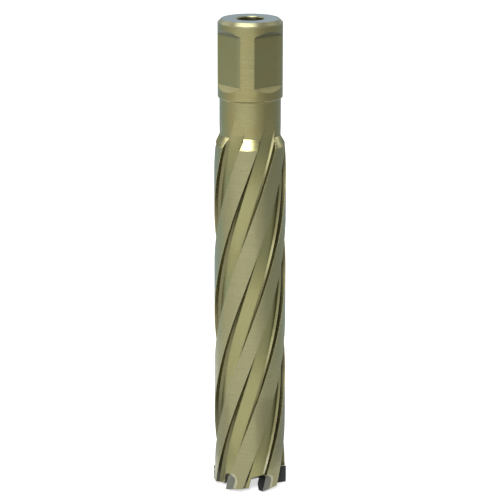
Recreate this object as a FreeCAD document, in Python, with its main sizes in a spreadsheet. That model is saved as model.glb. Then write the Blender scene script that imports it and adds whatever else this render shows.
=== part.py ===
import FreeCAD, Part
import math
import os
import re
import Sketcher

# Carbide-tipped annular cutter, 22 mm across the tips.
# It stands on its six tips: the origin is the centre of their circle, +Z runs up the axis to the
# shank, and the two clamping flats face -Y and -X.  Lengths are millimetres, angles are degrees.
# Each tooth is drawn on the +X side, with its cutting face parallel to the XZ plane apart from its
# rake, and is then turned about the axis to its place.

SIZES = {
    # turned blank, from the tips up
    "body_diameter": 21.2,
    "body_length": 104.9,
    "cone_length": 3.1,
    "neck_length": 10.6,
    "neck_step": 1.6,
    # side-lock shank, three quarters of an inch across
    "shank_diameter": 19.05,
    "shank_length": 23.4,
    "shank_shoulder_length": 0.525,
    "shank_chamfer": 1.0,
    "flat_depth": 1.5,
    "flat_distance_from_end": 4.2,
    "flat_distance_from_shoulder": 4.3,
    "flat_ramp_angle": 45.0,
    "angle_between_flats": 90.0,
    # slug bore from below and pilot pin bore through the shank
    "wall_thickness": 3.5,
    "bore_distance_from_shank": 6.6,
    "bore_end_angle": 59.0,
    "pilot_bore_diameter": 8.0,
    "pilot_bore_chamfer": 0.25,
    # teeth: uneven steps round the circle keep the cutter from chattering
    "teeth": 6,
    "tooth_step_shift": 2.0,
    "first_tooth_angle": -104.7,
    # helical flutes
    "flute_lead": 183.0,
    "flute_angle": 32.5,
    "flute_depth": 2.1,
    "flute_face_bevel": 0.45,
    "flute_heel_bevel": 0.6,
    "flute_ahead_of_tooth": 23.1,
    "flute_reach_on_neck": 5.6,
    "runout_rise_angle": 6.0,
    # carbide tips, brazed into pockets
    "tip_proud_of_body": 0.4,
    "tip_proud_of_bore": 0.35,
    "face_ahead_of_centre": 0.93,
    "axial_rake": 13.0,
    "tip_thickness": 2.2,
    "tip_height": 5.2,
    "tip_corner_radius": 1.2,
    "tip_side_relief_angle": 11.5,
    "braze_thickness": 0.2,
    # ground end of each tooth
    "inner_edge_width": 1.55,
    "outer_edge_angle": 9.5,
    "inner_edge_angle": 45.0,
    "relief_angle": 10.0,
    "relief_length": 8.0,
    # gullet through the wall in front of each tip
    "gullet_width": 3.3,
    "gullet_height": 4.6,
    "gullet_ramp_angle": 38.0,
    "gullet_corner_radius": 0.8,
    "gullet_overlap_on_pocket": 0.4,
    # how far a cutting tool runs past the metal that it removes
    "tool_overrun": 3.0,
}

FORMULAS = {
    "body_radius": "body_diameter / 2",
    "neck_radius": "body_radius - neck_step",
    "neck_bottom": "body_length + cone_length",
    "shank_radius": "shank_diameter / 2",
    "shank_bottom": "neck_bottom + neck_length",
    "overall_length": "shank_bottom + shank_length",
    "flat_distance": "shank_radius - flat_depth",
    "flat_bottom": "shank_bottom + flat_distance_from_shoulder",
    "flat_top": "overall_length - flat_distance_from_end",
    "flat_ramp_run": "tool_overrun / tan(flat_ramp_angle)",
    "bore_radius": "body_radius - wall_thickness",
    "pilot_bore_radius": "pilot_bore_diameter / 2",
    "bore_depth": "shank_bottom - bore_distance_from_shank",
    "bore_end_top": "bore_depth + (bore_radius - pilot_bore_radius) / tan(bore_end_angle)",
    "wide_step": "360 / teeth + tooth_step_shift",
    "narrow_step": "360 / teeth - 2 * tooth_step_shift",
    "cutting_radius": "body_radius + tip_proud_of_body",
    "slug_radius": "bore_radius - tip_proud_of_bore",
    "tool_outside": "cutting_radius + tool_overrun",
    "tool_inside": "slug_radius - tool_overrun",
    "flute_floor_distance": "body_radius - flute_depth",
    "flute_wall_slope": "tan(flute_angle / 2)",
    "flute_floor_half_width": "flute_floor_distance * flute_wall_slope",
    "flute_face_foot": "flute_floor_distance + flute_face_bevel",
    "flute_heel_foot": "flute_floor_distance + flute_heel_bevel",
    "flute_helix_slope": "2 * pi * flute_floor_distance / flute_lead",
    "flute_top": "neck_bottom + flute_reach_on_neck",
    "runout_length": "(neck_radius - flute_floor_distance) / tan(runout_rise_angle)",
    "flute_length": "flute_top - runout_length",
    "runout_angle": "flute_length / flute_lead * 360 - flute_ahead_of_tooth",
    "edge_low_radius": "slug_radius + inner_edge_width",
    "rake_slope": "tan(axial_rake)",
    "gullet_back": "face_ahead_of_centre + gullet_width",
    "gullet_front": "face_ahead_of_centre - gullet_overlap_on_pocket",
    "pocket_depth": "tip_thickness + braze_thickness",
    "pocket_height": "tip_height + braze_thickness",
    "pocket_corner_radius": "tip_corner_radius + braze_thickness",
}

doc = FreeCAD.newDocument("annular_cutter")
sheet = doc.addObject("Spreadsheet::Sheet", "sizes")
cells = {name: str(number) for name, number in SIZES.items()}
cells.update({name: "=" + formula for name, formula in FORMULAS.items()})
for row, name in enumerate(cells, start=1):
    sheet.set("A%d" % row, name)
    sheet.set("B%d" % row, cells[name])
    sheet.setAlias("B%d" % row, name)
doc.recompute()


def bound(formula):
    """The formula with each size pointed at its cell in the sheet."""
    return re.sub("[a-z_]+", lambda word: "sizes." + word[0] if word[0] in cells else word[0], formula)


def value(formula):
    """The number that a formula gives now."""
    result = sheet.evalExpression(bound(formula))
    return float(getattr(result, "Value", result))


def new_body(label, turn):
    """A body for one piece, turned about the cutter's axis."""
    body = doc.addObject("PartDesign::Body", label)
    body.Label = label
    body.setExpression("Placement", bound("placement(vector(0; 0; 0); rotationz(%s))" % turn))
    return body


def origin_item(body, role):
    """A plane or axis of the body's origin."""
    return next(item for item in body.Origin.OriginFeatures if item.Role == role)


def tie_point(sketch, geometry, across, up):
    """Tie the first point of a line or point in a sketch to two formulas."""
    for kind, formula in (("DistanceX", across), ("DistanceY", up)):
        index = sketch.addConstraint(Sketcher.Constraint(kind, -1, 1, geometry, 1, value(formula)))
        sketch.setExpression("Constraints[%d]" % index, bound(formula))


def draw_outline(sketch, corners):
    """A closed outline.  Each corner is (across, up) or (across, up, radius), written as formulas."""
    points = [FreeCAD.Vector(value(corner[0]), value(corner[1]), 0) for corner in corners]
    count = len(points)
    starts = list(points)
    ends = list(points)
    arcs = {}
    for i, corner in enumerate(corners):
        if len(corner) == 3:
            back = (points[i - 1] - points[i]).normalize()
            ahead = (points[(i + 1) % count] - points[i]).normalize()
            half_angle = back.getAngle(ahead) / 2
            radius = value(corner[2])
            ends[i] = points[i] + back * (radius / math.tan(half_angle))
            starts[i] = points[i] + ahead * (radius / math.tan(half_angle))
            middle = points[i] + (back + ahead).normalize() * (radius / math.sin(half_angle))
            arcs[i] = Part.Circle(middle, FreeCAD.Vector(0, 0, 1), radius)
    first = sketch.GeometryCount
    for i in range(count):
        sketch.addGeometry(Part.LineSegment(starts[i], ends[(i + 1) % count]), False)
    for i in range(count):
        line_in = first + (i - 1) % count
        line_out = first + i
        if i not in arcs:
            sketch.addConstraint(Sketcher.Constraint("Coincident", line_in, 2, line_out, 1))
            tie_point(sketch, line_out, corners[i][0], corners[i][1])
            continue
        turns_left = (points[i] - points[i - 1]).cross(points[(i + 1) % count] - points[i]).z > 0
        limits = [arcs[i].parameter(point) for point in (ends[i], starts[i])]
        if not turns_left:
            limits.reverse()
        arc = sketch.addGeometry(Part.ArcOfCircle(arcs[i], limits[0], limits[1]), False)
        arc_in, arc_out = (1, 2) if turns_left else (2, 1)
        sketch.addConstraint(Sketcher.Constraint("Tangent", line_in, 2, arc, arc_in))
        sketch.addConstraint(Sketcher.Constraint("Tangent", arc, arc_out, line_out, 1))
        radius_index = sketch.addConstraint(Sketcher.Constraint("Radius", arc, value(corners[i][2])))
        sketch.setExpression("Constraints[%d]" % radius_index, bound(corners[i][2]))
        corner_point = sketch.addGeometry(Part.Point(points[i]), True)
        sketch.addConstraint(Sketcher.Constraint("PointOnObject", corner_point, 1, line_in))
        sketch.addConstraint(Sketcher.Constraint("PointOnObject", corner_point, 1, line_out))
        tie_point(sketch, corner_point, corners[i][0], corners[i][1])


def new_sketch(body, name, plane, outlines, offset=None):
    """A sketch of closed outlines on an origin plane, moved and turned from it by the offset."""
    sketch = body.newObject("Sketcher::SketchObject", name)
    sketch.AttachmentSupport = [(origin_item(body, plane), "")]
    sketch.MapMode = "FlatFace"
    if offset:
        sketch.setExpression("AttachmentOffset", bound(offset))
    for corners in outlines:
        draw_outline(sketch, corners)
    return sketch


def turn_about_axis(body, kind, name, sketch):
    """A Revolution or Groove of a sketch about its own upright axis."""
    feature = body.newObject("PartDesign::" + kind, name)
    feature.Profile = sketch
    feature.ReferenceAxis = (sketch, ["V_Axis"])
    feature.Angle = 360
    return feature


def extrude(body, kind, name, sketch, length, back_length="0", direction=None):
    """A Pad or Pocket of a sketch, along the direction and back from it by two lengths."""
    feature = body.newObject("PartDesign::" + kind, name)
    feature.Profile = sketch
    feature.SideType = "Two sides"
    feature.setExpression("Length", bound(length))
    feature.setExpression("Length2", bound(back_length))
    if direction:
        feature.UseCustomVector = True
        feature.AlongSketchNormal = False
        feature.setExpression("Direction", bound("vector(%s)" % direction))
    return feature


def ring_pattern(body, name, originals, count):
    """Copies of features round the cutter's axis."""
    pattern = body.newObject("PartDesign::PolarPattern", name)
    pattern.Originals = originals
    pattern.Axis = (origin_item(body, "Z_Axis"), [""])
    pattern.Mode = "Spacing"
    pattern.setExpression("Occurrences", bound(count))
    return pattern


def make_blank(body):
    """The turned steel: slug bore, body, cone, neck, shank and pilot pin bore."""
    profile = new_sketch(body, "blank_profile", "XZ_Plane", [[
        ("bore_radius", "(edge_low_radius - bore_radius) * tan(inner_edge_angle)"),
        ("edge_low_radius", "0"),
        ("body_radius", "0"),
        ("body_radius", "body_length"),
        ("neck_radius", "neck_bottom"),
        ("neck_radius", "shank_bottom"),
        ("shank_radius", "shank_bottom + shank_shoulder_length"),
        ("shank_radius", "overall_length - shank_chamfer"),
        ("shank_radius - shank_chamfer", "overall_length"),
        ("pilot_bore_radius + pilot_bore_chamfer", "overall_length"),
        ("pilot_bore_radius", "overall_length - pilot_bore_chamfer"),
        ("pilot_bore_radius", "bore_end_top"),
        ("bore_radius", "bore_depth"),
    ]])
    return turn_about_axis(body, "Revolution", "blank", profile)


def cut_flats(body):
    """Two clamping flats with ramps at both ends, milled into the shank."""
    profile = new_sketch(body, "flat_profile", "XZ_Plane", [[
        ("flat_distance", "flat_bottom"),
        ("flat_distance + tool_overrun", "flat_bottom - flat_ramp_run"),
        ("flat_distance + tool_overrun", "flat_top + flat_ramp_run"),
        ("flat_distance", "flat_top"),
    ]], "placement(vector(0; 0; 0); rotationy(180 - first_tooth_angle))")
    flat = extrude(body, "Pocket", "flat", profile, "shank_radius", "shank_radius")
    pattern = ring_pattern(body, "flats", [flat], "2")
    pattern.setExpression("Offset", bound("angle_between_flats"))
    return pattern


def flute_section(body, name, start):
    """A flute cut across: flat floor, walls on radial lines, and a bevel at the foot of each wall."""
    return new_sketch(body, name, "XY_Plane", [[
        ("flute_floor_distance", "flute_heel_bevel - flute_floor_half_width"),
        ("flute_heel_foot", "-flute_heel_foot * flute_wall_slope"),
        ("tool_outside", "-tool_outside * flute_wall_slope"),
        ("tool_outside", "tool_outside * flute_wall_slope"),
        ("flute_face_foot", "flute_face_foot * flute_wall_slope"),
        ("flute_floor_distance", "flute_floor_half_width - flute_face_bevel"),
    ]], start)


def cut_flute(body):
    """One helical flute, from the end of the body up to its run-out."""
    start = "placement(vector(0; 0; 0); rotationz(-flute_ahead_of_tooth))"
    helix = body.newObject("PartDesign::SubtractiveHelix", "flute")
    helix.Profile = flute_section(body, "flute_section", start)
    helix.ReferenceAxis = (origin_item(body, "Z_Axis"), [""])
    helix.Mode = "pitch-height-angle"
    helix.setExpression("Pitch", bound("flute_lead"))
    helix.setExpression("Height", bound("flute_length"))
    return helix


def cut_runout(body):
    """The flute's upper end, where its floor climbs out of the neck in a rounded arch."""
    start = "placement(vector(0; 0; flute_length); rotationz(runout_angle))"
    section = flute_section(body, "runout_section", start)
    direction = "; ".join([
        "cos(runout_angle) * tan(runout_rise_angle) - sin(runout_angle) * flute_helix_slope",
        "sin(runout_angle) * tan(runout_rise_angle) + cos(runout_angle) * flute_helix_slope",
        "1",
    ])
    return extrude(body, "Pocket", "runout", section, "2 * (runout_length + tool_overrun)", "0", direction)


def cut_gullet(body):
    """The notch through the wall in front of a tip; its top climbs outwards to lift the chips."""
    section = new_sketch(body, "gullet_section", "YZ_Plane", [[
        ("gullet_height * rake_slope - gullet_back", "gullet_height", "gullet_corner_radius"),
        ("-2 * tool_outside * rake_slope - gullet_back", "-2 * tool_outside"),
        ("-2 * tool_outside * rake_slope - gullet_front", "-2 * tool_outside"),
        ("gullet_height * rake_slope - gullet_front", "gullet_height"),
    ]], "placement(vector(0; 0; flute_floor_distance); rotationz(0))")
    return extrude(body, "Pocket", "gullet", section, "tool_outside", "tool_outside",
                   "cos(gullet_ramp_angle); 0; sin(gullet_ramp_angle)")


def tip_sketch(body, name, corners):
    """A sketch seen from outside the tooth, leaning with the rake and starting at the cutting face."""
    return new_sketch(body, name, "YZ_Plane", [corners],
                      "placement(vector(-face_ahead_of_centre; 0; tool_inside); rotationz(-axial_rake))")


def cut_tip_pocket(body):
    """The pocket that holds a tip and its braze, open at the cutting face and at the end."""
    section = tip_sketch(body, "tip_pocket_section", [
        ("0", "-tool_overrun"),
        ("pocket_depth", "-tool_overrun"),
        ("pocket_depth", "pocket_height", "pocket_corner_radius"),
        ("0", "pocket_height"),
    ])
    return extrude(body, "Pocket", "tip_pocket", section, "0", "tool_outside - tool_inside")


def grind_relief(body, edge):
    """The end of a tooth, ground along the cutting edge and falling away behind it."""
    profile = new_sketch(body, "relief_profile", "XZ_Plane", [edge + [
        ("tool_outside", "-2 * tool_overrun"),
        ("tool_inside", "-2 * tool_overrun"),
    ]], "placement(vector(0; 0; face_ahead_of_centre); rotationz(0))")
    return extrude(body, "Pocket", "relief", profile, "relief_length", "tool_overrun",
                   "0; cos(relief_angle); sin(relief_angle)")


def repeat_for_teeth(body, name, originals):
    """The first tooth's cuts, repeated at the uneven steps of the teeth."""
    pattern = ring_pattern(body, name, originals, "teeth")
    steps = ("wide_step", "narrow_step", "wide_step")
    pattern.SpacingPattern = [value(step) for step in steps]
    for i, step in enumerate(steps):
        pattern.setExpression("SpacingPattern[%d]" % i, bound(step))
    body.Tip = pattern


def make_cutter_body():
    """The steel body, one piece from the gullets to the shank."""
    body = new_body("cutter_body", "first_tooth_angle")
    make_blank(body)
    body.Tip = cut_flats(body)
    repeat_for_teeth(body, "flutes", [cut_flute(body), cut_runout(body)])
    gullet = cut_gullet(body)
    pocket = cut_tip_pocket(body)
    relief = grind_relief(body, [
        ("tool_inside", "(tool_inside - edge_low_radius) * tan(outer_edge_angle)"),
        ("tool_outside", "(tool_outside - edge_low_radius) * tan(outer_edge_angle)"),
    ])
    repeat_for_teeth(body, "tooth_ends", [gullet, pocket, relief])


def finish_tooth_piece(body, inside, outside):
    """Grind a tip or its braze to two radii and along the cutting edge."""
    rings = new_sketch(body, "ring_profile", "XZ_Plane", [
        [
            (inside, "-2 * tool_overrun"),
            (inside, "tip_height + tool_overrun"),
            ("tool_inside / 2", "tip_height + tool_overrun"),
            ("tool_inside / 2", "-2 * tool_overrun"),
        ],
        [
            (outside, "-2 * tool_overrun"),
            (outside, "tip_height + tool_overrun"),
            ("tool_outside + tool_overrun", "tip_height + tool_overrun"),
            ("tool_outside + tool_overrun", "-2 * tool_overrun"),
        ],
    ])
    turn_about_axis(body, "Groove", "rings", rings)
    body.Tip = grind_relief(body, [
        ("tool_inside", "(edge_low_radius - tool_inside) * tan(inner_edge_angle)"),
        ("edge_low_radius", "0"),
        ("tool_outside", "(tool_outside - edge_low_radius) * tan(outer_edge_angle)"),
    ])


def make_tip(number, turn):
    """A carbide tip: a leaning block with one rounded corner, its face towards -Y, and its outer side
    falling away behind the cutting edge until it is flush with the body."""
    body = new_body("carbide_tip_%d" % number, turn)
    section = tip_sketch(body, "tip_section", [
        ("0", "-tool_overrun"),
        ("tip_thickness", "-tool_overrun"),
        ("tip_thickness", "tip_height", "tip_corner_radius"),
        ("0", "tip_height"),
    ])
    extrude(body, "Pad", "tip_block", section, "tool_outside - tool_inside")
    side = new_sketch(body, "side_relief_section", "XY_Plane", [[
        ("cutting_radius", "-face_ahead_of_centre"),
        ("tool_outside + tool_overrun", "-face_ahead_of_centre"),
        ("tool_outside + tool_overrun", "relief_length - face_ahead_of_centre"),
        ("cutting_radius - relief_length * tan(tip_side_relief_angle)", "relief_length - face_ahead_of_centre"),
    ]])
    extrude(body, "Pocket", "side_relief", side, "2 * (tip_height + tool_overrun)", "2 * tool_overrun",
            "0; rake_slope; 1")
    finish_tooth_piece(body, "slug_radius", "cutting_radius")


def make_braze(number, turn):
    """The braze between a tip and its pocket, along the tip's back and top."""
    body = new_body("braze_seam_%d" % number, turn)
    section = tip_sketch(body, "braze_section", [
        ("0", "tip_height"),
        ("tip_thickness", "tip_height", "tip_corner_radius"),
        ("tip_thickness", "-tool_overrun"),
        ("pocket_depth", "-tool_overrun"),
        ("pocket_depth", "pocket_height", "pocket_corner_radius"),
        ("0", "pocket_height"),
    ])
    extrude(body, "Pad", "braze_band", section, "tool_outside - tool_inside")
    finish_tooth_piece(body, "bore_radius", "body_radius")


make_cutter_body()
steps = ["0", "wide_step", "wide_step + narrow_step"]
for i in range(int(value("teeth"))):
    turn = "first_tooth_angle + %d * (2 * wide_step + narrow_step) + %s" % (i // 3, steps[i % 3])
    make_tip(i + 1, turn)
    make_braze(i + 1, turn)
doc.recompute()

for item in doc.Objects:
    if {"Invalid", "Error"} & set(item.State):
        raise RuntimeError("%s did not build: %s" % (item.Label, item.State))
os.makedirs("parts", exist_ok=True)
for body in doc.findObjects("PartDesign::Body"):
    if body.Shape.isNull() or not body.Shape.isValid() or len(body.Shape.Solids) != 1:
        raise RuntimeError("%s has no sound shape" % body.Label)
    body.Shape.exportStep("parts/%s.step" % body.Label)
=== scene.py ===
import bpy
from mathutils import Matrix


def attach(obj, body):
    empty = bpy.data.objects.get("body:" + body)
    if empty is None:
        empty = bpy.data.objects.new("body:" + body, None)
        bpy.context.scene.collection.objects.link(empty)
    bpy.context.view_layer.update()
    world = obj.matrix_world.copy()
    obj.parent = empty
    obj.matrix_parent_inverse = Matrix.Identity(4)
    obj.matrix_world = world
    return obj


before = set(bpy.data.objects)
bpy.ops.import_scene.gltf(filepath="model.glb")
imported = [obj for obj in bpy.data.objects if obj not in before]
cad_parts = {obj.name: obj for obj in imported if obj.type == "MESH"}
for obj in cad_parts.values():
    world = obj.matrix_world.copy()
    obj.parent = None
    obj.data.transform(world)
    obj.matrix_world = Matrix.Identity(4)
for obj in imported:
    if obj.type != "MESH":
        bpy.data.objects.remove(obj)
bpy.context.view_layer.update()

import math

import bmesh
import bpy
from bpy.props import FloatProperty, FloatVectorProperty, PointerProperty
from mathutils import Matrix, Vector

bl_info = {
    "name": "Annular Cutter",
    "version": (1, 0, 0),
    "blender": (4, 5, 0),
    "location": "View3D > Sidebar > Cutter",
    "description": "Coating, carbide, braze beads and studio for a carbide-tipped annular cutter",
    "category": "Object",
}

# Directions of the teeth round the axis, in degrees.
TOOTH_TURNS = (-104.7, -42.7, 13.3, 75.3, 137.3, 193.3)
TOOTH_NUMBERS = range(1, len(TOOTH_TURNS) + 1)

# Heights above the cutting edges between which a finish fades, in metres.
POCKET_TOP = (0.0052, 0.0066)
BEVEL_HIGHLIGHT_TOP = (0.0085, 0.013)
TOOTH_END_TOP = (0.02, 0.03)
LAND_TOP = (0.1045, 0.105)
WALL_TOP = (0.1055, 0.108)
FLUTE_TOP = (0.106, 0.110)
NECK_MIDDLE = (0.116, 0.1165)
SHANK_BOTTOM = (0.1205, 0.1215)
FLAT_BOTTOM = (0.124, 0.126)
UPPER_RAMP_BOTTOM = (0.1335, 0.134)
UPPER_RAMP_TOP = (0.1385, 0.139)
BORE_MOUTH = (0.1385, 0.1404)
CHAMFER_BOTTOM = (0.1404, 0.1407)
END_FACE = (0.14194, 0.14198)

# Distances from the axis between which a finish fades, in metres.
FLUTE_WALL = (0.0093, 0.0104)
UNDER_LANDS = (0.0103, 0.0105)
LANDS = (0.01045, 0.01055)
FLOOR_FADE = 0.0001
BORE_FADE = 0.00004

# How far a surface faces a way, from -1 to 1, where a finish fades.
FACING_UP = (0.85, 0.95)
FACING_DOWN = (-0.5, -0.1)
FACING_OUT = (0.3, 0.6)
LEADING_WALL = (-0.95, -0.85)
LEADING_BEVEL_START = (-0.92, -0.8)
LEADING_BEVEL_END = (-0.5, -0.35)
HEEL_WALL = (0.45, 0.6)
RAKE_FACE = (-0.92, -0.8)

# Parts of a noise's range, of a corner's openness and of an edge's bend that a finish uses.
SOFT = (0.3, 0.7)
WIDE = (0.2, 0.8)
PATCHY = (0.35, 0.6)
FINE_LINES = (0.4, 0.7)
MILLED_CORNER = (0.5, 0.92)
SHALLOW_CORNER = (0.8, 0.985)
EDGE_BEND = (0.8, 0.99)

# Scales of the noises: across the cutter's axis and along it where there are two.
TURNING_MARKS = (30, 5200)
GRINDING_MARKS = (45.0, 90)
CARBIDE_LINES = (900, 9000)
END_RINGS = 9000
COATING_GRAIN = 9000
COATING_CLOUDS = 160
CARBIDE_CLOUDS = 700
BRAZE_LUMPS = 2600

# Radii of the edges that wear pale, reach of the painted shade in a corner and depths of the bumps, in
# metres.
BODY_EDGE = 0.00016
TIP_EDGE = 0.00008
CORNER_REACH = 0.0009
COATING_DEPTH = 0.00001
CARBIDE_DEPTH = 0.000005
BRAZE_DEPTH = 0.00003

# Colours that the finishes are mixed with. The wall, pocket, overhang, corner, ramp and bore colours and
# the dark carbide face tint are painted shade; the chamfer tint is a painted highlight.
MARK_TINT = (0.08, 0.075, 0.035)
FLUTE_TINT = (0.262, 0.257, 0.115)
RING_TINT = (0.22, 0.24, 0.25)
CHAMFER_PAINTED_HIGHLIGHT = (0.33, 0.33, 0.22)
WALL_PAINTED_SHADE = (0.02, 0.021, 0.017)
POCKET_PAINTED_SHADE = (0.04, 0.038, 0.028)
OVERHANG_PAINTED_SHADE = (0.06, 0.065, 0.05)
CORNER_PAINTED_SHADE = (0.03, 0.03, 0.022)
RAMP_PAINTED_SHADE = (0.05, 0.055, 0.045)
BORE_PAINTED_SHADE = (0.06, 0.058, 0.04)
CARBIDE_CLOUD_TINT = (0.2, 0.2, 0.16)
CARBIDE_LINE_TINT = (0.09, 0.095, 0.085)
RAKE_FACE_PAINTED_SHADE = (0.025, 0.03, 0.032)
CARBIDE_EDGE_TINT = (0.5, 0.5, 0.46)
BRAZE_LUMP_TINT = (0.33, 0.32, 0.2)

# A braze bead: its steps along the back, round the corner and along the top, its steps to each side
# of its ridge, the rows in which its ends taper, how deep its rim lies in the land and how far behind
# the cutting face it ends.
BEAD_STEPS = 8
BEAD_TOP_STEPS = 4
BEAD_SIDE_STEPS = 4
BEAD_TAPER_ROWS = 3
BEAD_SINK = 0.00002
BEAD_END = 0.0005

# Cards that only show in the metal. A stop is a turn from the camera in degrees, to the right, and
# the colour of the card there.
LEFT_CARD_STOPS = (
    (-180, (0.36, 0.46, 0.46)),
    (-150, (0.42, 0.54, 0.6)),
    (-120, (0.64, 0.75, 0.8)),
    (-101, (0.71, 0.84, 0.86)),
    (-88, (0.92, 0.91, 0.89)),
    (-78, (1.0, 0.98, 0.95)),
    (-60, (1.05, 1.04, 1.0)),
)
RIGHT_CARD_STOPS = (
    (16, (1.0, 1.0, 0.97)),
    (34, (0.78, 0.79, 0.77)),
    (55, (0.56, 0.58, 0.59)),
    (90, (0.53, 0.565, 0.57)),
    (150, (0.42, 0.5, 0.5)),
    (180, (0.4, 0.5, 0.5)),
)
LEFT_LOW_CARD_STOPS = (
    (-180, (0.5, 0.6, 0.66)),
    (-110, (0.84, 0.88, 0.9)),
    (-80, (0.96, 0.96, 0.95)),
    (-60, (1.0, 1.0, 0.99)),
)
RIGHT_LOW_CARD_STOPS = (
    (16, (0.95, 0.95, 0.93)),
    (34, (0.74, 0.75, 0.73)),
    (55, (0.65, 0.66, 0.66)),
    (90, (0.62, 0.64, 0.66)),
    (120, (0.48, 0.52, 0.53)),
    (145, (0.34, 0.38, 0.39)),
    (180, (0.44, 0.5, 0.52)),
)
BACK_CARD_STOPS = ((138, (0.55, 0.64, 0.67)), (222, (0.55, 0.64, 0.67)))
LEFT_GLINT_STOPS = ((-108, (7, 7, 7)), (-86, (7, 7, 7)))
RIGHT_GLINT_STOPS = ((110, (5, 5, 5)), (128, (5, 5, 5)))

# Flat strips in which a card bends between two stops.
CARD_STEPS = 6

# Name, stops, distance from the axis and heights of the foot and the top in metres, and what the
# colours are multiplied by at the foot and at the top.
CARDS = (
    ("left_card", LEFT_CARD_STOPS, 0.16, (0.0, 0.15), (1.32, 0.75)),
    ("right_card", RIGHT_CARD_STOPS, 0.1, (0.0, 0.135), (1.35, 0.8)),
    ("left_low_card", LEFT_LOW_CARD_STOPS, 0.03, (0.0, 0.022), (1.0, 1.0)),
    ("right_low_card", RIGHT_LOW_CARD_STOPS, 0.03, (0.0, 0.022), (1.0, 1.0)),
    ("back_card", BACK_CARD_STOPS, 0.3, (0.16, 0.32), (1.0, 1.0)),
    ("left_glint", LEFT_GLINT_STOPS, 0.3, (0.225, 0.285), (1.0, 1.0)),
    ("right_glint", RIGHT_GLINT_STOPS, 0.3, (0.17, 0.23), (1.0, 1.0)),
)

# Name, turn from the camera and height in degrees, width and length in metres, brightness.
LAMPS = (
    ("key", -12, 43, (0.44, 0.26), 15.0),
    ("front", -24, 18, (0.7, 0.3), 1.5),
    ("top", -47, 75, (0.65, 0.65), 3.0),
    ("left_back", -127, 39, (0.5, 0.5), 0.65),
    ("right_back", 115, 49, (0.4, 0.4), 0.42),
)
LAMP_DISTANCE = 1.0
LAMP_AIM_HEIGHT = 0.07

# The floor's grey, its glow for the camera and for the metal, and the glow that the camera adds.
FLOOR_SHADE = 0.68
FLOOR_GLOW = 0.3
FLOOR_CAMERA_GLOW = 0.32


class CutterShape(bpy.types.PropertyGroup):
    """Sizes of the cutter that its finishes and its braze beads follow."""

    flute_lead: FloatProperty(
        name="Flute lead", description="Rise of a flute in one turn", default=0.183, unit="LENGTH"
    )
    floor_radius: FloatProperty(
        name="Flute floor radius", description="Distance of a flute's floor from the axis",
        default=0.0089, unit="LENGTH",
    )
    body_radius: FloatProperty(
        name="Body radius", description="Radius of the lands", default=0.0106, unit="LENGTH"
    )
    face_ahead: FloatProperty(
        name="Face offset", description="How far a cutting face stands ahead of the middle",
        default=0.00093, unit="LENGTH",
    )
    axial_rake: FloatProperty(
        name="Axial rake", description="Lean of a cutting face", default=math.radians(13),
        subtype="ANGLE",
    )
    tip_thickness: FloatProperty(
        name="Tip thickness", description="Thickness of a carbide tip", default=0.0022, unit="LENGTH"
    )
    tip_height: FloatProperty(
        name="Tip height", description="Height of a carbide tip", default=0.0052, unit="LENGTH"
    )
    tip_corner_radius: FloatProperty(
        name="Tip corner radius", description="Radius of a tip's upper back corner",
        default=0.0012, unit="LENGTH",
    )
    bore_radius: FloatProperty(
        name="Slug bore radius", description="Radius of the slug bore", default=0.00711, unit="LENGTH"
    )


class CoatingFinish(bpy.types.PropertyGroup):
    """The olive gold coating and what shows through it."""

    colour: FloatVectorProperty(
        name="Coating", description="Colour of the coating", subtype="COLOR", size=3,
        default=(0.268, 0.256, 0.119), min=0, max=1,
    )
    warm_colour: FloatVectorProperty(
        name="Warm patches", description="Colour where the coating is a little thicker",
        subtype="COLOR", size=3, default=(0.28, 0.248, 0.108), min=0, max=1,
    )
    land_colour: FloatVectorProperty(
        name="Lands", description="Colour of the lands between the flutes", subtype="COLOR", size=3,
        default=(0.258, 0.248, 0.132), min=0, max=1,
    )
    # Also painted on the leading bevels near the teeth as a painted highlight.
    edge_wear_and_highlight_colour: FloatVectorProperty(
        name="Worn edges", description="Colour of sharp edges", subtype="COLOR", size=3,
        default=(0.62, 0.6, 0.42), min=0, max=1,
    )
    steel_colour: FloatVectorProperty(
        name="Bare steel", description="Colour of the ground end face", subtype="COLOR", size=3,
        default=(0.3, 0.34, 0.355), min=0, max=1,
    )
    roughness: FloatProperty(
        name="Roughness", description="Roughness of the coating", default=0.3, min=0, max=1,
        subtype="FACTOR",
    )


class TipFinish(bpy.types.PropertyGroup):
    """Carbide and braze."""

    carbide_colour: FloatVectorProperty(
        name="Carbide", description="Colour of the ground carbide", subtype="COLOR", size=3,
        default=(0.155, 0.162, 0.135), min=0, max=1,
    )
    braze_colour: FloatVectorProperty(
        name="Braze", description="Colour of the braze metal", subtype="COLOR", size=3,
        default=(0.39, 0.385, 0.28), min=0, max=1,
    )
    bead_width: FloatProperty(
        name="Bead width", description="Width of the braze that has flowed out along a seam",
        default=0.00095, unit="LENGTH",
    )
    bead_height: FloatProperty(
        name="Bead height", description="How far that braze stands off the land",
        default=0.00009, unit="LENGTH",
    )
    bead_foot: FloatProperty(
        name="Bead foot", description="Height above the cutting edge at which the braze begins",
        default=0.00165, unit="LENGTH",
    )


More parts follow.
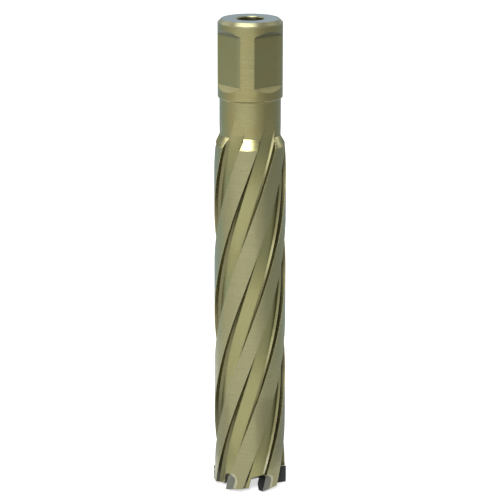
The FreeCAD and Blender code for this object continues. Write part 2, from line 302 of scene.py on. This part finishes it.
class StudioSettings(bpy.types.PropertyGroup):
    """Floor, lamps and camera."""

    floor_size: FloatProperty(
        name="Floor size", description="Width of the floor", default=6.0, unit="LENGTH"
    )
    world_strength: FloatProperty(
        name="Room light", description="Strength of the light from all round", default=0.55, min=0
    )
    camera_distance: FloatProperty(
        name="Camera distance", description="Level distance of the camera from the cutter's axis",
        default=0.7173, unit="LENGTH",
    )
    camera_height: FloatProperty(
        name="Camera height", description="Height of the camera above the floor",
        default=0.26074, unit="LENGTH",
    )
    camera_turn: FloatProperty(
        name="Camera turn", description="Direction of the camera round the cutter",
        default=math.radians(-39.85), subtype="ANGLE",
    )
    camera_pitch: FloatProperty(
        name="Camera pitch", description="How far the camera looks down",
        default=math.radians(14.694), subtype="ANGLE",
    )
    camera_roll: FloatProperty(
        name="Camera roll", description="How far the camera leans to the side",
        default=math.radians(0.07), subtype="ANGLE",
    )
    camera_lens: FloatProperty(
        name="Focal length", description="Focal length for a 36 mm sensor", default=180.07,
        unit="CAMERA",
    )


class CutterSettings(bpy.types.PropertyGroup):
    """All that a user of the panel can change."""

    shape: PointerProperty(type=CutterShape)
    coating: PointerProperty(type=CoatingFinish)
    tip: PointerProperty(type=TipFinish)
    studio: PointerProperty(type=StudioSettings)


class Shader:
    """A node material under construction."""

    def __init__(self, name):
        self.material = bpy.data.materials.new(name)
        self.material.use_nodes = True
        self.tree = self.material.node_tree
        self.bsdf = self.tree.nodes["Principled BSDF"]

    def node(self, kind, **settings):
        """A new node with its attributes set."""
        made = self.tree.nodes.new("ShaderNode" + kind)
        for key, value in settings.items():
            setattr(made, key, value)
        return made

    def feed(self, socket, source):
        """Link a socket to another, or give it a plain value."""
        if isinstance(source, bpy.types.NodeSocket):
            self.tree.links.new(source, socket)
        else:
            socket.default_value = source

    def math(self, operation, first, second=0.0, third=0.0):
        """A Math node of sockets or numbers."""
        made = self.node("Math", operation=operation)
        for socket, source in zip(made.inputs, (first, second, third)):
            self.feed(socket, source)
        return made.outputs[0]

    def product(self, first, second):
        """Two sockets or numbers multiplied."""
        return self.math("MULTIPLY", first, second)

    def ramp(self, source, low, high, to_low=0.0, to_high=1.0):
        """A smooth step from one range to another."""
        made = self.node("MapRange", interpolation_type="SMOOTHSTEP")
        limits = {"From Min": low, "From Max": high, "To Min": to_low, "To Max": to_high}
        for name, value in limits.items():
            made.inputs[name].default_value = value
        self.feed(made.inputs["Value"], source)
        return made.outputs["Result"]

    def mix(self, factor, first, second):
        """A colour mix of sockets or colours."""
        made = self.node("Mix", data_type="RGBA")
        self.feed(made.inputs["Factor"], factor)
        for name, source in (("A", first), ("B", second)):
            socket = next(item for item in made.inputs if item.name == name and item.type == "RGBA")
            self.feed(socket, source if isinstance(source, bpy.types.NodeSocket) else (*source, 1.0))
        return next(item for item in made.outputs if item.type == "RGBA")

    def mix_numbers(self, factor, first, second):
        """A mix of two number sockets."""
        made = self.node("Mix", data_type="FLOAT")
        for index, source in ((0, factor), (2, first), (3, second)):
            self.feed(made.inputs[index], source)
        return made.outputs[0]

    def noise(self, vector, scale, detail=2.0):
        """Noise between 0 and 1 at a point."""
        made = self.node("TexNoise")
        self.feed(made.inputs["Vector"], vector)
        made.inputs["Scale"].default_value = scale
        made.inputs["Detail"].default_value = detail
        return made.outputs["Fac"]

    def vector(self, x, y, z):
        """A vector from three sockets or numbers."""
        made = self.node("CombineXYZ")
        for socket, source in zip(made.inputs, (x, y, z)):
            self.feed(socket, source)
        return made.outputs[0]

    def streaks(self, x, y, z, across, along):
        """Noise with its own scale across the axis and along it."""
        point = self.vector(self.product(x, across), self.product(y, across), self.product(z, along))
        return self.noise(point, 1.0)

    def place(self):
        """Object coordinates in metres and their three parts."""
        coordinates = self.node("TexCoord").outputs["Object"]
        parts = self.node("SeparateXYZ")
        self.feed(parts.inputs[0], coordinates)
        return coordinates, parts.outputs

    def facing(self, x, y):
        """Distance from the axis, and how far the surface faces outward, round the axis and upward."""
        radius = self.math("SQRT", self.math("ADD", self.product(x, x), self.product(y, y)))
        parts = self.node("SeparateXYZ")
        self.feed(parts.inputs[0], self.node("NewGeometry").outputs["Normal"])
        way_x, way_y, upward = parts.outputs
        outward = self.math("ADD", self.product(way_x, x), self.product(way_y, y))
        round_axis = self.math("SUBTRACT", self.product(way_y, x), self.product(way_x, y))
        return (
            radius,
            self.math("DIVIDE", outward, radius),
            self.math("DIVIDE", round_axis, radius),
            upward,
        )

    def rounded_edges(self, radius):
        """The normal with its edges rounded, and how well it agrees with the surface's own."""
        rounded = self.node("Bevel", samples=8)
        rounded.inputs["Radius"].default_value = radius
        along = self.node("VectorMath", operation="DOT_PRODUCT")
        self.feed(along.inputs[0], rounded.outputs[0])
        self.feed(along.inputs[1], self.node("NewGeometry").outputs["Normal"])
        return rounded.outputs[0], along.outputs["Value"]

    def bump(self, height, strength, distance, normal=None):
        """A bump on the surface, or on a normal where one is given."""
        made = self.node("Bump")
        made.inputs["Strength"].default_value = strength
        made.inputs["Distance"].default_value = distance
        self.feed(made.inputs["Height"], height)
        if normal is not None:
            self.feed(made.inputs["Normal"], normal)
        return made.outputs["Normal"]

    def as_metal(self, colour, roughness, normal):
        """Make the surface a metal and return the finished material."""
        self.feed(self.bsdf.inputs["Base Color"], colour)
        self.feed(self.bsdf.inputs["Roughness"], roughness)
        self.feed(self.bsdf.inputs["Normal"], normal)
        self.bsdf.inputs["Metallic"].default_value = 1.0
        return self.material


class BodyCoating(Shader):
    """The satin olive gold coating of the cutter body, laid on layer by layer, with painted shade and
    painted highlights among the layers.
    """

    def __init__(self, settings):
        super().__init__("coated_steel")
        self.coating, self.shape = settings.coating, settings.shape
        self.coordinates, (self.x, self.y, self.z) = self.place()
        self.turn = self.math("ARCTAN2", self.y, self.x)
        self.radius, self.outward, self.round_axis, self.upward = self.facing(self.x, self.y)
        floor = self.shape.floor_radius
        self.in_flute = self.product(
            self.ramp(self.radius, floor, floor + FLOOR_FADE, 1, 0), self.ramp(self.z, *FLUTE_TOP, 1, 0)
        )
        self.marks = self.tool_marks()
        self.cloud = self.noise(self.coordinates, COATING_CLOUDS, 3.0)
        self.rounded, self.agreement = self.rounded_edges(BODY_EDGE)
        self.colour = self.mix(
            self.ramp(self.cloud, *SOFT), self.coating.colour, self.coating.warm_colour
        )

    def lay(self, mask, colour):
        """Mix a colour over the layers so far."""
        self.colour = self.mix(mask, self.colour, colour)

    def tool_marks(self):
        """Turning marks round the body, and grinding marks along the flutes."""
        turning = self.streaks(self.x, self.y, self.z, *TURNING_MARKS)
        climb = self.product(self.z, 2 * math.pi / self.shape.flute_lead)
        helix = self.math("SUBTRACT", self.turn, climb)
        sine, cosine = self.math("SINE", helix), self.math("COSINE", helix)
        grinding = self.streaks(sine, cosine, self.z, *GRINDING_MARKS)
        return self.mix_numbers(self.in_flute, turning, grinding)

    def lay_lands_and_edges(self):
        """Greyer lands, faint tool marks and edges where the coating wears pale."""
        on_land = self.product(self.ramp(self.radius, *LANDS), self.ramp(self.z, *LAND_TOP, 1, 0))
        self.lay(on_land, self.coating.land_colour)
        self.lay(self.ramp(self.marks, *SOFT, 0, 0.09), MARK_TINT)
        edge = self.ramp(self.agreement, *EDGE_BEND, 1, 0)
        edge = self.product(edge, self.ramp(self.cloud, *PATCHY, 0.25, 0.7))
        self.lay(edge, self.coating.edge_wear_and_highlight_colour)

    def lay_end_face(self):
        """Bare steel, ground in fine rings, on the end of the shank."""
        end_face = self.product(self.ramp(self.z, *END_FACE), self.ramp(self.upward, *FACING_UP))
        rings = self.noise(self.vector(self.product(self.radius, END_RINGS), self.turn, 0.0), 1.0)
        steel = self.mix(self.ramp(rings, *SOFT, 0, 0.35), self.coating.steel_colour, RING_TINT)
        self.lay(end_face, steel)

    def lay_flutes(self):
        """Paler leading bevels near the teeth as a painted highlight, fresh flute floors and painted
        shade darkening the flute walls.
        """
        # Painted highlight: the leading bevels at the flute floors are painted pale, strongest near the
        # teeth.
        bevel = self.product(
            self.ramp(self.round_axis, *LEADING_BEVEL_END, 1, 0),
            self.ramp(self.round_axis, *LEADING_BEVEL_START),
        )
        bevel_highlight = self.product(bevel, self.ramp(self.z, *BEVEL_HIGHLIGHT_TOP, 0.85, 0.1))
        self.lay(bevel_highlight, self.coating.edge_wear_and_highlight_colour)
        self.lay(self.product(self.in_flute, 0.6), FLUTE_TINT)
        # Painted shade: the flute walls darkened nearly to black, deepest towards the floor and on the
        # leading walls.
        on_wall = self.product(
            self.ramp(self.z, *WALL_TOP, 1, 0), self.ramp(self.radius, *UNDER_LANDS, 1, 0)
        )
        leading_wall_painted_shade = self.product(
            self.ramp(self.round_axis, *LEADING_WALL, 1, 0),
            self.ramp(self.radius, *FLUTE_WALL, 0.88, 0.42),
        )
        heel_wall_painted_shade = self.ramp(self.round_axis, *HEEL_WALL, 0, 0.45)
        self.lay(self.product(on_wall, self.math("MAXIMUM", leading_wall_painted_shade, heel_wall_painted_shade)), WALL_PAINTED_SHADE)

    def lay_corners(self):
        """Painted shade in the tooth pockets, under overhangs and in inner corners."""
        # Painted shade: the tooth pockets darkened.
        pocket = self.product(
            self.ramp(self.z, *POCKET_TOP, 1, 0), self.ramp(self.outward, *FACING_OUT, 1, 0)
        )
        self.lay(self.product(pocket, 0.75), POCKET_PAINTED_SHADE)
        # Painted shade: surfaces facing down near the teeth and below the flats darkened.
        ends = self.math(
            "MAXIMUM", self.ramp(self.z, *TOOTH_END_TOP, 1, 0), self.ramp(self.z, *FLAT_BOTTOM)
        )
        self.lay(self.product(ends, self.ramp(self.upward, *FACING_DOWN, 0.6, 0)), OVERHANG_PAINTED_SHADE)
        # Painted shade: inner corners of the neck and shank darkened by their ambient occlusion.
        corner = self.node("AmbientOcclusion", samples=6)
        corner.inputs["Distance"].default_value = CORNER_REACH
        openness = corner.outputs["AO"]
        milled = self.math(
            "MAXIMUM", self.ramp(self.z, *NECK_MIDDLE, 1, 0), self.ramp(self.z, *SHANK_BOTTOM)
        )
        self.lay(self.product(milled, self.ramp(openness, *MILLED_CORNER, 0.75, 0)), CORNER_PAINTED_SHADE)
        # Painted shade: the corners under the flats' upper ramps darkened.
        on_ramp = self.product(
            self.ramp(self.z, *UPPER_RAMP_BOTTOM), self.ramp(self.z, *UPPER_RAMP_TOP, 1, 0)
        )
        self.lay(self.product(on_ramp, self.ramp(openness, *SHALLOW_CORNER, 0.8, 0)), RAMP_PAINTED_SHADE)

    def lay_chamfer_and_bores(self):
        """A painted highlight that makes the chamfer round the end face paler, and painted shade in the
        bores.
        """
        # Painted highlight: the chamfer mixed towards a paler colour.
        chamfer = self.product(
            self.ramp(self.z, *CHAMFER_BOTTOM, 0, 0.4), self.ramp(self.upward, *FACING_UP, 1, 0)
        )
        self.lay(chamfer, CHAMFER_PAINTED_HIGHLIGHT)
        # Painted shade: the bores darkened inside their mouths.
        bore = self.shape.bore_radius
        inside = self.product(
            self.ramp(self.radius, bore, bore + BORE_FADE, 1, 0), self.ramp(self.z, *BORE_MOUTH, 1, 0)
        )
        self.lay(self.product(inside, 0.55), BORE_PAINTED_SHADE)

    def finish(self):
        """The finished material, under a thin clear coat."""
        base = self.coating.roughness
        rough = self.ramp(self.marks, *WIDE, base - 0.05, base + 0.07)
        grain = self.noise(self.coordinates, COATING_GRAIN)
        height = self.math("ADD", self.product(self.marks, 0.4), self.product(grain, 0.3))
        self.bsdf.inputs["Coat Weight"].default_value = 0.25
        self.bsdf.inputs["Coat Roughness"].default_value = 0.2
        bump = self.bump(height, 0.1, COATING_DEPTH, self.rounded)
        return self.as_metal(self.colour, rough, bump)


def coated_steel(settings):
    """Coated steel with tool marks, edges that wear pale and a bare ground end face, with painted shade
    and painted highlights mixed into its colour.
    """
    coat = BodyCoating(settings)
    coat.lay_lands_and_edges()
    coat.lay_end_face()
    coat.lay_flutes()
    coat.lay_corners()
    coat.lay_chamfer_and_bores()
    return coat.finish()


def ground_carbide(settings):
    """Dark ground carbide with fine grinding lines, bright cutting edges and painted shade on the rake
    faces.
    """
    shader = Shader("ground_carbide")
    coordinates, (x, y, z) = shader.place()
    _, _, round_axis, _ = shader.facing(x, y)
    lines = shader.streaks(x, y, z, *CARBIDE_LINES)
    cloud = shader.noise(coordinates, CARBIDE_CLOUDS, 3.0)
    rounded, agreement = shader.rounded_edges(TIP_EDGE)
    colour = settings.tip.carbide_colour
    for mask, tint in (
        (shader.ramp(cloud, *SOFT, 0, 0.5), CARBIDE_CLOUD_TINT),
        (shader.ramp(lines, *FINE_LINES, 0, 0.4), CARBIDE_LINE_TINT),
        # Painted shade: the rake faces darkened nearly to black.
        (shader.ramp(round_axis, *RAKE_FACE, 0.85, 0), RAKE_FACE_PAINTED_SHADE),
        (shader.ramp(agreement, *EDGE_BEND, 0.8, 0), CARBIDE_EDGE_TINT),
    ):
        colour = shader.mix(mask, colour, tint)
    rough = shader.ramp(lines, *WIDE, 0.3, 0.45)
    return shader.as_metal(colour, rough, shader.bump(lines, 0.3, CARBIDE_DEPTH, rounded))


def braze_metal(settings):
    """Pale braze, flowed and slightly lumpy."""
    shader = Shader("braze_metal")
    coordinates, _ = shader.place()
    lumps = shader.noise(coordinates, BRAZE_LUMPS)
    colour = shader.mix(shader.ramp(lumps, *SOFT, 0, 0.6), settings.tip.braze_colour, BRAZE_LUMP_TINT)
    rough = shader.ramp(lumps, *WIDE, 0.28, 0.5)
    return shader.as_metal(colour, rough, shader.bump(lumps, 0.5, BRAZE_DEPTH))


def finish_node(name, material):
    """Give a CAD node a material in each of its slots."""
    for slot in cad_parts[name].material_slots:
        slot.material = material


def add_mesh_object(name, mesh, material):
    """Link a mesh to the scene as an object."""
    piece = bpy.data.objects.new(name, mesh)
    bpy.context.scene.collection.objects.link(piece)
    mesh.materials.append(material)
    return piece


def mesh_from(builder, name):
    """Turn a finished builder into a mesh."""
    mesh = bpy.data.meshes.new(name)
    builder.to_mesh(mesh)
    builder.free()
    return mesh


def bead_path(settings):
    """Points and outward directions of a bead along a tip's back and top, in the tip's leaning plane."""
    shape, half, foot = settings.shape, settings.tip.bead_width / 2, settings.tip.bead_foot
    back, top, corner = shape.tip_thickness, shape.tip_height, shape.tip_corner_radius
    rise, start = top - corner - foot, back - corner
    points = [((back + half, foot + rise * i / BEAD_STEPS), (1, 0)) for i in range(BEAD_STEPS)]
    for i in range(BEAD_STEPS + 1):
        angle = math.pi / 2 * i / BEAD_STEPS
        way = (math.cos(angle), math.sin(angle))
        reach = corner + half
        points.append(((start + reach * way[0], top - corner + reach * way[1]), way))
    for i in range(1, BEAD_TOP_STEPS + 1):
        points.append(((start + (BEAD_END - start) * i / BEAD_TOP_STEPS, top + half), (0, 1)))
    return points


def bead_mesh(number, turn, settings):
    """The braze that has flowed out over the land beside one tip."""
    shape, tip = settings.shape, settings.tip
    lean_cos, lean_sin = math.cos(shape.axial_rake), math.sin(shape.axial_rake)
    path = bead_path(settings)
    sides = 2 * BEAD_SIDE_STEPS + 1
    builder = bmesh.new()
    rows = []
    for i, ((u, v), way) in enumerate(path):
        swell = 1 + 0.1 * math.sin(1.7 * i + number) + 0.06 * math.sin(0.6 * i + 2 * number)
        taper = min(1.0, (i + 1) / BEAD_TAPER_ROWS, (len(path) - i) / BEAD_TAPER_ROWS)
        row = []
        for step in range(sides):
            place = step / BEAD_SIDE_STEPS - 1
            across = place * tip.bead_width / 2 * (0.6 + 0.4 * taper) * (swell if place > 0 else 1)
            rise = tip.bead_height * taper * swell * (1 - place ** 2) - BEAD_SINK
            a, b = u + way[0] * across, v + way[1] * across
            side = a * lean_cos + b * lean_sin - shape.face_ahead
            height = b * lean_cos - a * lean_sin
            reach = shape.body_radius + rise
            angle = turn + math.asin(side / reach)
            row.append(builder.verts.new((reach * math.cos(angle), reach * math.sin(angle), height)))
        rows.append(row)
    for low, high in zip(rows, rows[1:]):
        for step in range(sides):
            after = (step + 1) % sides
            face = builder.faces.new((low[step], low[after], high[after], high[step]))
            face.smooth = after > 0
    builder.faces.new(rows[0])
    builder.faces.new(rows[-1])
    bmesh.ops.recalc_face_normals(builder, faces=builder.faces)
    return mesh_from(builder, "braze_bead_%d" % number)


class CUTTER_OT_coat_body(bpy.types.Operator):
    """Coat the cutter body and leave its end face bare"""

    bl_idname = "cutter.coat_body"
    bl_label = "Coat Cutter Body"
    bl_options = {"REGISTER", "UNDO"}

    def execute(self, context):
        finish_node("cutter_body", coated_steel(context.scene.cutter))
        return {"FINISHED"}


class CUTTER_OT_finish_tips(bpy.types.Operator):
    """Give the carbide tips their ground finish"""

    bl_idname = "cutter.finish_tips"
    bl_label = "Finish Carbide Tips"
    bl_options = {"REGISTER", "UNDO"}

    def execute(self, context):
        material = ground_carbide(context.scene.cutter)
        for number in TOOTH_NUMBERS:
            finish_node("carbide_tip_%d" % number, material)
        return {"FINISHED"}


class CUTTER_OT_braze_seams(bpy.types.Operator):
    """Give the braze seams their metal and add the beads beside them"""

    bl_idname = "cutter.braze_seams"
    bl_label = "Finish Braze Seams"
    bl_options = {"REGISTER", "UNDO"}

    def execute(self, context):
        settings = context.scene.cutter
        material = braze_metal(settings)
        for number, turn in zip(TOOTH_NUMBERS, TOOTH_TURNS):
            finish_node("braze_seam_%d" % number, material)
            mesh = bead_mesh(number, math.radians(turn), settings)
            bead = add_mesh_object("braze_bead_%d" % number, mesh, material)
            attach(bead, "root")
        return {"FINISHED"}


def floor_material():
    """A white floor that keeps the cutter's shadow."""
    shader = Shader("studio_floor")
    shader.bsdf.inputs["Base Color"].default_value = (FLOOR_SHADE, FLOOR_SHADE, FLOOR_SHADE, 1)
    shader.bsdf.inputs["Roughness"].default_value = 0.9
    shader.bsdf.inputs["Specular IOR Level"].default_value = 0.1
    shader.bsdf.inputs["Emission Color"].default_value = (1, 1, 1, 1)
    rays = shader.node("LightPath").outputs
    seen = shader.math("MAXIMUM", rays["Is Camera Ray"], rays["Is Glossy Ray"])
    seen = shader.math("MAXIMUM", seen, rays["Is Transmission Ray"])
    glow = shader.product(seen, FLOOR_GLOW)
    glow = shader.math("MULTIPLY_ADD", rays["Is Camera Ray"], FLOOR_CAMERA_GLOW, glow)
    shader.feed(shader.bsdf.inputs["Emission Strength"], glow)
    return shader.material


def card_material(name):
    """A glowing surface that takes its colour from its mesh."""
    shader = Shader(name)
    shader.bsdf.inputs["Base Color"].default_value = (0, 0, 0, 1)
    shader.bsdf.inputs["Specular IOR Level"].default_value = 0.0
    shader.bsdf.inputs["Emission Strength"].default_value = 1.0
    shade = shader.node("Attribute", attribute_name="shade").outputs["Color"]
    shader.feed(shader.bsdf.inputs["Emission Color"], shade)
    return shader.material


def bent_card(name, stops, distance, heights, strengths):
    """A card that bends round the cutter and only shows in its metal."""
    studio = bpy.context.scene.cutter.studio
    builder = bmesh.new()
    shade = builder.verts.layers.float_color.new("shade")
    columns = []
    for (start, first), (end, last) in zip(stops, stops[1:]):
        for step in range(1 if columns else 0, CARD_STEPS + 1):
            angle = studio.camera_turn + math.radians(start + (end - start) * step / CARD_STEPS)
            colour = Vector(first).lerp(Vector(last), step / CARD_STEPS)
            column = []
            for height, strength in zip(heights, strengths):
                place = (math.sin(angle) * distance, -math.cos(angle) * distance, height)
                column.append(builder.verts.new(place))
                column[-1][shade] = (*colour * strength, 1)
            columns.append(column)
    for left, right in zip(columns, columns[1:]):
        builder.faces.new((left[0], right[0], right[1], left[1]))
    card = add_mesh_object(name, mesh_from(builder, name), card_material(name))
    card.visible_camera = False
    card.visible_diffuse = False
    card.visible_shadow = False
    return card


def hang_lamp(name, turn, height, size, brightness):
    """A rectangular lamp that faces the middle of the cutter."""
    angle = bpy.context.scene.cutter.studio.camera_turn + math.radians(turn)
    climb = math.radians(height)
    level = LAMP_DISTANCE * math.cos(climb)
    data = bpy.data.lights.new(name, "AREA")
    data.shape = "RECTANGLE"
    data.size, data.size_y = size
    data.energy = brightness * 4 * size[0] * size[1]
    lamp = bpy.data.objects.new(name, data)
    lamp.location = (
        math.sin(angle) * level,
        -math.cos(angle) * level,
        LAMP_AIM_HEIGHT + LAMP_DISTANCE * math.sin(climb),
    )
    aim = Vector((0, 0, LAMP_AIM_HEIGHT)) - lamp.location
    lamp.rotation_euler = aim.to_track_quat("-Z", "Y").to_euler()
    bpy.context.scene.collection.objects.link(lamp)


def place_camera(scene):
    """The camera of the photograph."""
    studio = scene.cutter.studio
    data = bpy.data.cameras.new("photo_camera")
    data.sensor_width = 36.0
    data.lens = studio.camera_lens
    data.clip_start = 0.05
    camera = bpy.data.objects.new("photo_camera", data)
    camera.location = (
        math.sin(studio.camera_turn) * studio.camera_distance,
        -math.cos(studio.camera_turn) * studio.camera_distance,
        studio.camera_height,
    )
    turn = Matrix.Rotation(studio.camera_turn, 3, "Z")
    tilt = Matrix.Rotation(math.pi / 2 - studio.camera_pitch, 3, "X")
    roll = Matrix.Rotation(studio.camera_roll, 3, "Z")
    camera.rotation_euler = (turn @ tilt @ roll).to_euler()
    scene.collection.objects.link(camera)
    scene.camera = camera


class CUTTER_OT_set_stage(bpy.types.Operator):
    """Lay the floor, hang the lamps and cards and place the camera"""

    bl_idname = "cutter.set_stage"
    bl_label = "Set Stage"
    bl_options = {"REGISTER", "UNDO"}

    def execute(self, context):
        scene = context.scene
        studio = scene.cutter.studio
        builder = bmesh.new()
        bmesh.ops.create_grid(builder, x_segments=1, y_segments=1, size=studio.floor_size / 2)
        mesh = mesh_from(builder, "studio_floor")
        add_mesh_object("studio_floor", mesh, floor_material())

        world = bpy.data.worlds.new("studio")
        world.use_nodes = True
        background = world.node_tree.nodes["Background"]
        background.inputs["Color"].default_value = (1, 1, 1, 1)
        background.inputs["Strength"].default_value = studio.world_strength
        scene.world = world

        for lamp in LAMPS:
            hang_lamp(*lamp)
        for card in CARDS:
            bent_card(*card)
        place_camera(scene)
        scene.view_settings.view_transform = "Standard"
        return {"FINISHED"}


class CUTTER_PT_panel(bpy.types.Panel):
    """Sizes, finishes and steps of the annular cutter"""

    bl_idname = "CUTTER_PT_panel"
    bl_label = "Annular Cutter"
    bl_space_type = "VIEW_3D"
    bl_region_type = "UI"
    bl_category = "Cutter"

    def draw(self, context):
        settings = context.scene.cutter
        for title, group in (
            ("Shape", settings.shape),
            ("Coating", settings.coating),
            ("Tips", settings.tip),
            ("Studio", settings.studio),
        ):
            box = self.layout.box()
            box.label(text=title)
            for name in group.__annotations__:
                box.prop(group, name)
        for step in STEPS:
            self.layout.operator(step.bl_idname)


STEPS = (
    CUTTER_OT_coat_body,
    CUTTER_OT_finish_tips,
    CUTTER_OT_braze_seams,
    CUTTER_OT_set_stage,
)
CLASSES = (
    CutterShape,
    CoatingFinish,
    TipFinish,
    StudioSettings,
    CutterSettings,
    *STEPS,
    CUTTER_PT_panel,
)


def register():
    for cls in CLASSES:
        bpy.utils.register_class(cls)
    bpy.types.Scene.cutter = PointerProperty(type=CutterSettings)


def unregister():
    del bpy.types.Scene.cutter
    for cls in reversed(CLASSES):
        bpy.utils.unregister_class(cls)


def main():
    register()
    bpy.ops.cutter.coat_body()
    bpy.ops.cutter.finish_tips()
    bpy.ops.cutter.braze_seams()
    bpy.ops.cutter.set_stage()


if __name__ == "__main__":
    main()
